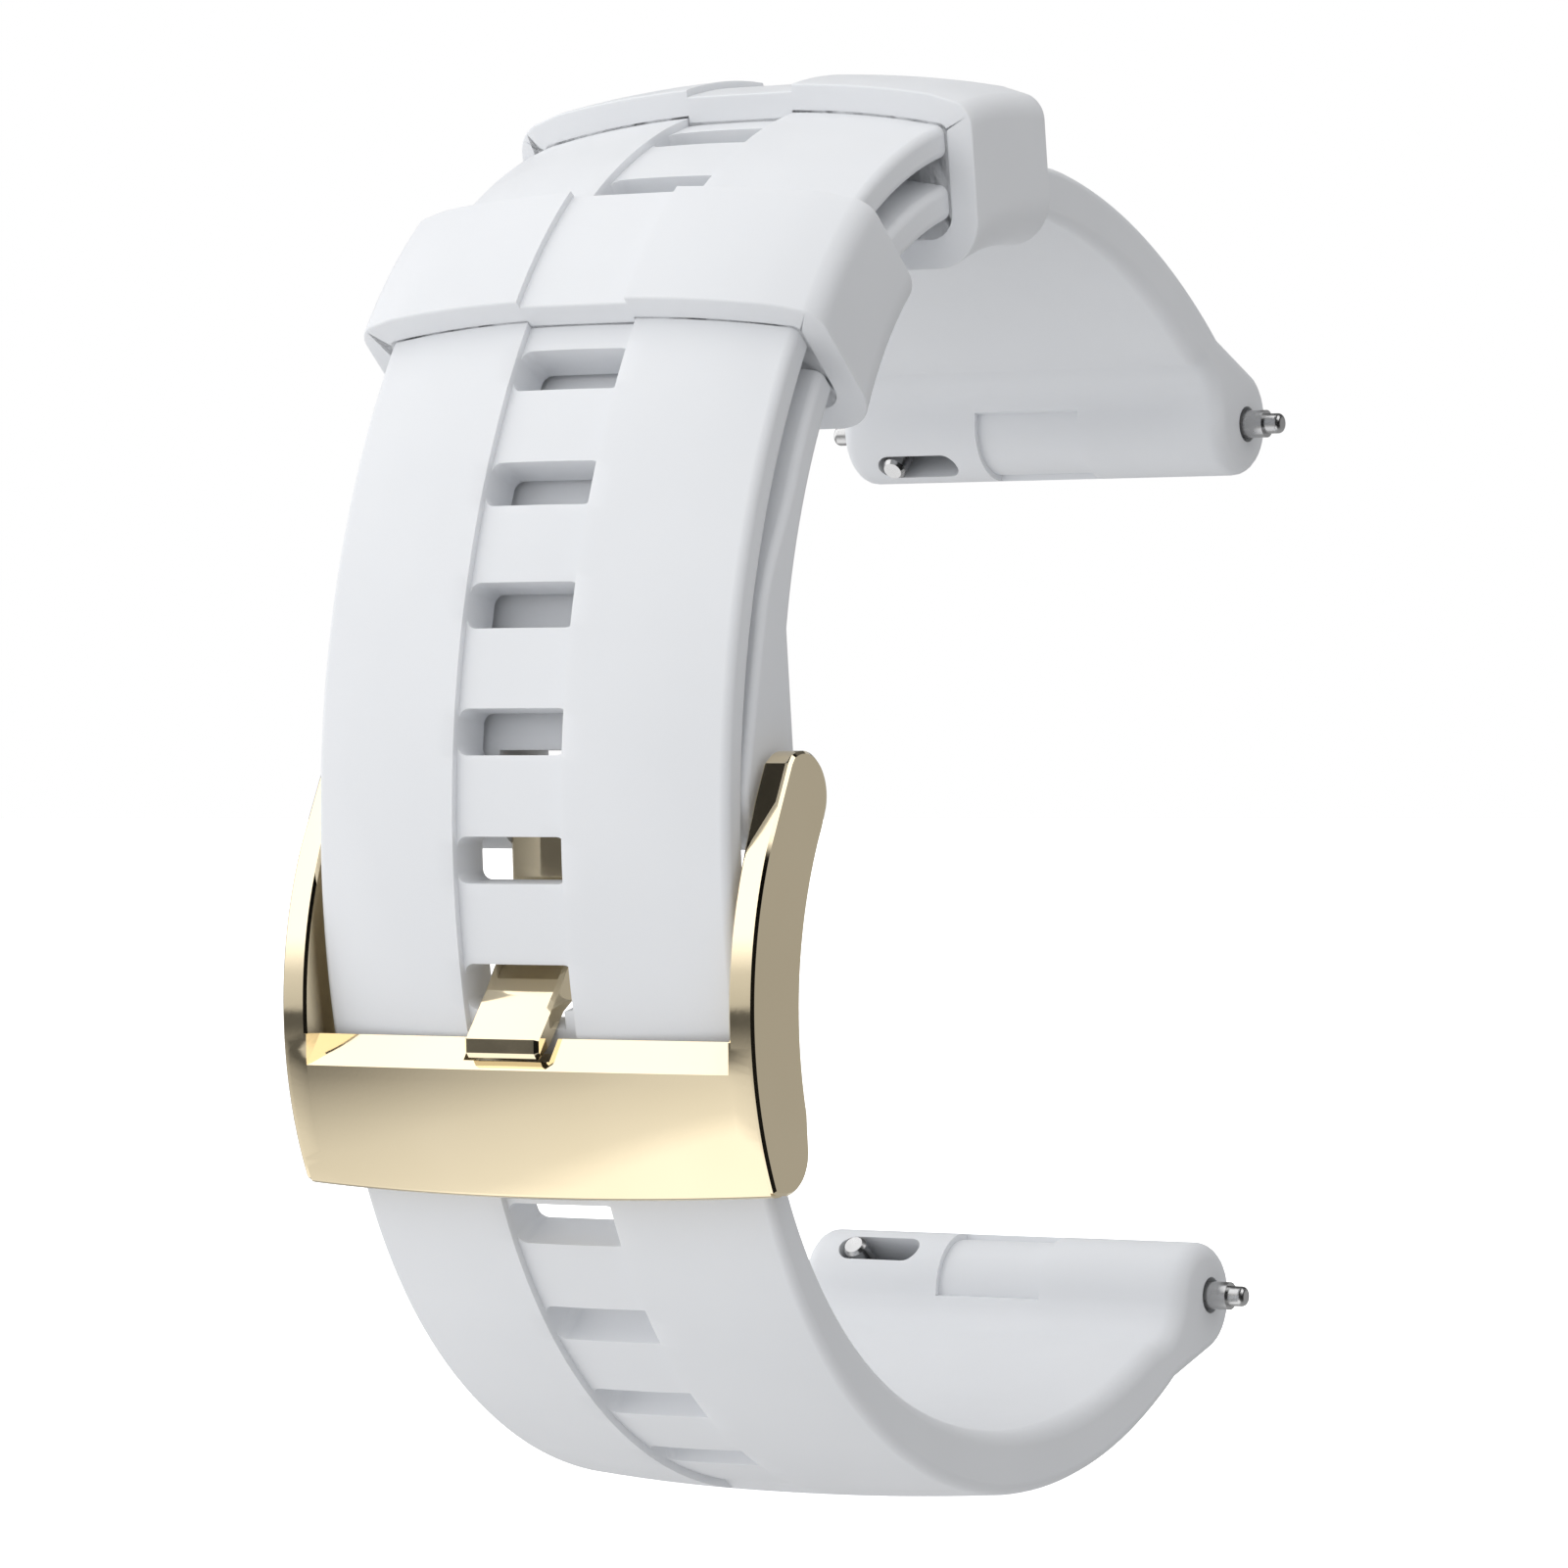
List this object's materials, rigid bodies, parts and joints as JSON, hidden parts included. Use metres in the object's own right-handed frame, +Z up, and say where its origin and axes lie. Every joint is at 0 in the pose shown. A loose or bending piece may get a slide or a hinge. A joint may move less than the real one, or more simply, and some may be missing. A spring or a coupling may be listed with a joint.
{
  "type": "watch strap",
  "caption": "Silicone quick-release watch strap buckled into a loop, with a metal pin buckle, strap keepers and spring bars at the lug ends.",
  "frame": {"origin": "centre of the part's bounding box, on the strap's mid width", "axes": "X runs across the strap, along the spring bars; Z is up the loop, its longest extent; the buckle faces -Y and the open side with the two lug ends faces +Y"},
  "size_m": [0.0236, 0.0488, 0.0618],
  "materials": {
    "silicone": "matte",
    "gold": "polished",
    "steel": "satin",
    "spring_steel": "satin"
  },
  "bodies": {
    "strap": {"strap_hole_side": "silicone", "strap_buckle_side": "silicone", "buckle_bar_tube": "steel", "buckle_bar_spring": "spring_steel", "upper_bar_tube": "steel", "upper_bar_spring": "spring_steel", "upper_bar_fixed_tip": "steel", "lower_bar_tube": "steel", "lower_bar_spring": "spring_steel", "lower_bar_fixed_tip": "steel"},
    "lower_loop": {"keeper_lower": "silicone"},
    "upper_loop": {"keeper_upper": "silicone"},
    "buckle": {"buckle_frame": "gold"},
    "tongue": {"buckle_tongue": "gold"},
    "plunger_left": {"buckle_bar_plunger_left": "steel"},
    "plunger_right": {"buckle_bar_plunger_right": "steel"},
    "upper_pin": {"upper_bar_sliding_pin": "steel", "upper_bar_lever": "steel"},
    "lower_pin": {"lower_bar_sliding_pin": "steel", "lower_bar_lever": "steel"}
  },
  "joints": [
    {"name": "keeper_lower_slide", "type": "hinge", "parent": "strap", "child": "lower_loop", "pos_m": [0, 0.00023, 0.00749], "axis": [1, 0, 0], "range_deg": [-10, 5]},
    {"name": "keeper_upper_slide", "type": "hinge", "parent": "strap", "child": "upper_loop", "pos_m": [0, 0.00023, 0.00749], "axis": [1, 0, 0], "range_deg": [-1, 10]},
    {"name": "buckle_turn", "type": "hinge", "parent": "strap", "child": "buckle", "pos_m": [0, -0.0197, -0.0005], "axis": [1, 0, 0], "range_deg": [-1.5, 0]},
    {"name": "tongue_turn", "type": "hinge", "parent": "buckle", "child": "tongue", "pos_m": [0, -0.0197, -0.0005], "axis": [1, 0, 0], "range_deg": [-1.5, 0]},
    {"name": "plunger_left_slide", "type": "slide", "parent": "strap", "child": "plunger_left", "axis": [1, 0, 0], "range_m": [0, 0.0007], "stiffness_N_per_m": 600, "springref_m": -0.002, "deforming": ["buckle_bar_spring"]},
    {"name": "plunger_right_slide", "type": "slide", "parent": "strap", "child": "plunger_right", "axis": [-1, 0, 0], "range_m": [0, 0.0007], "stiffness_N_per_m": 600, "springref_m": -0.002},
    {"name": "upper_lever_slide", "type": "slide", "parent": "strap", "child": "upper_pin", "axis": [1, 0, 0], "range_m": [0, 0.002], "stiffness_N_per_m": 600, "springref_m": -0.002, "deforming": ["upper_bar_spring"]},
    {"name": "lower_lever_slide", "type": "slide", "parent": "strap", "child": "lower_pin", "axis": [1, 0, 0], "range_m": [0, 0.002], "stiffness_N_per_m": 600, "springref_m": -0.002, "deforming": ["lower_bar_spring"]}
  ]
}
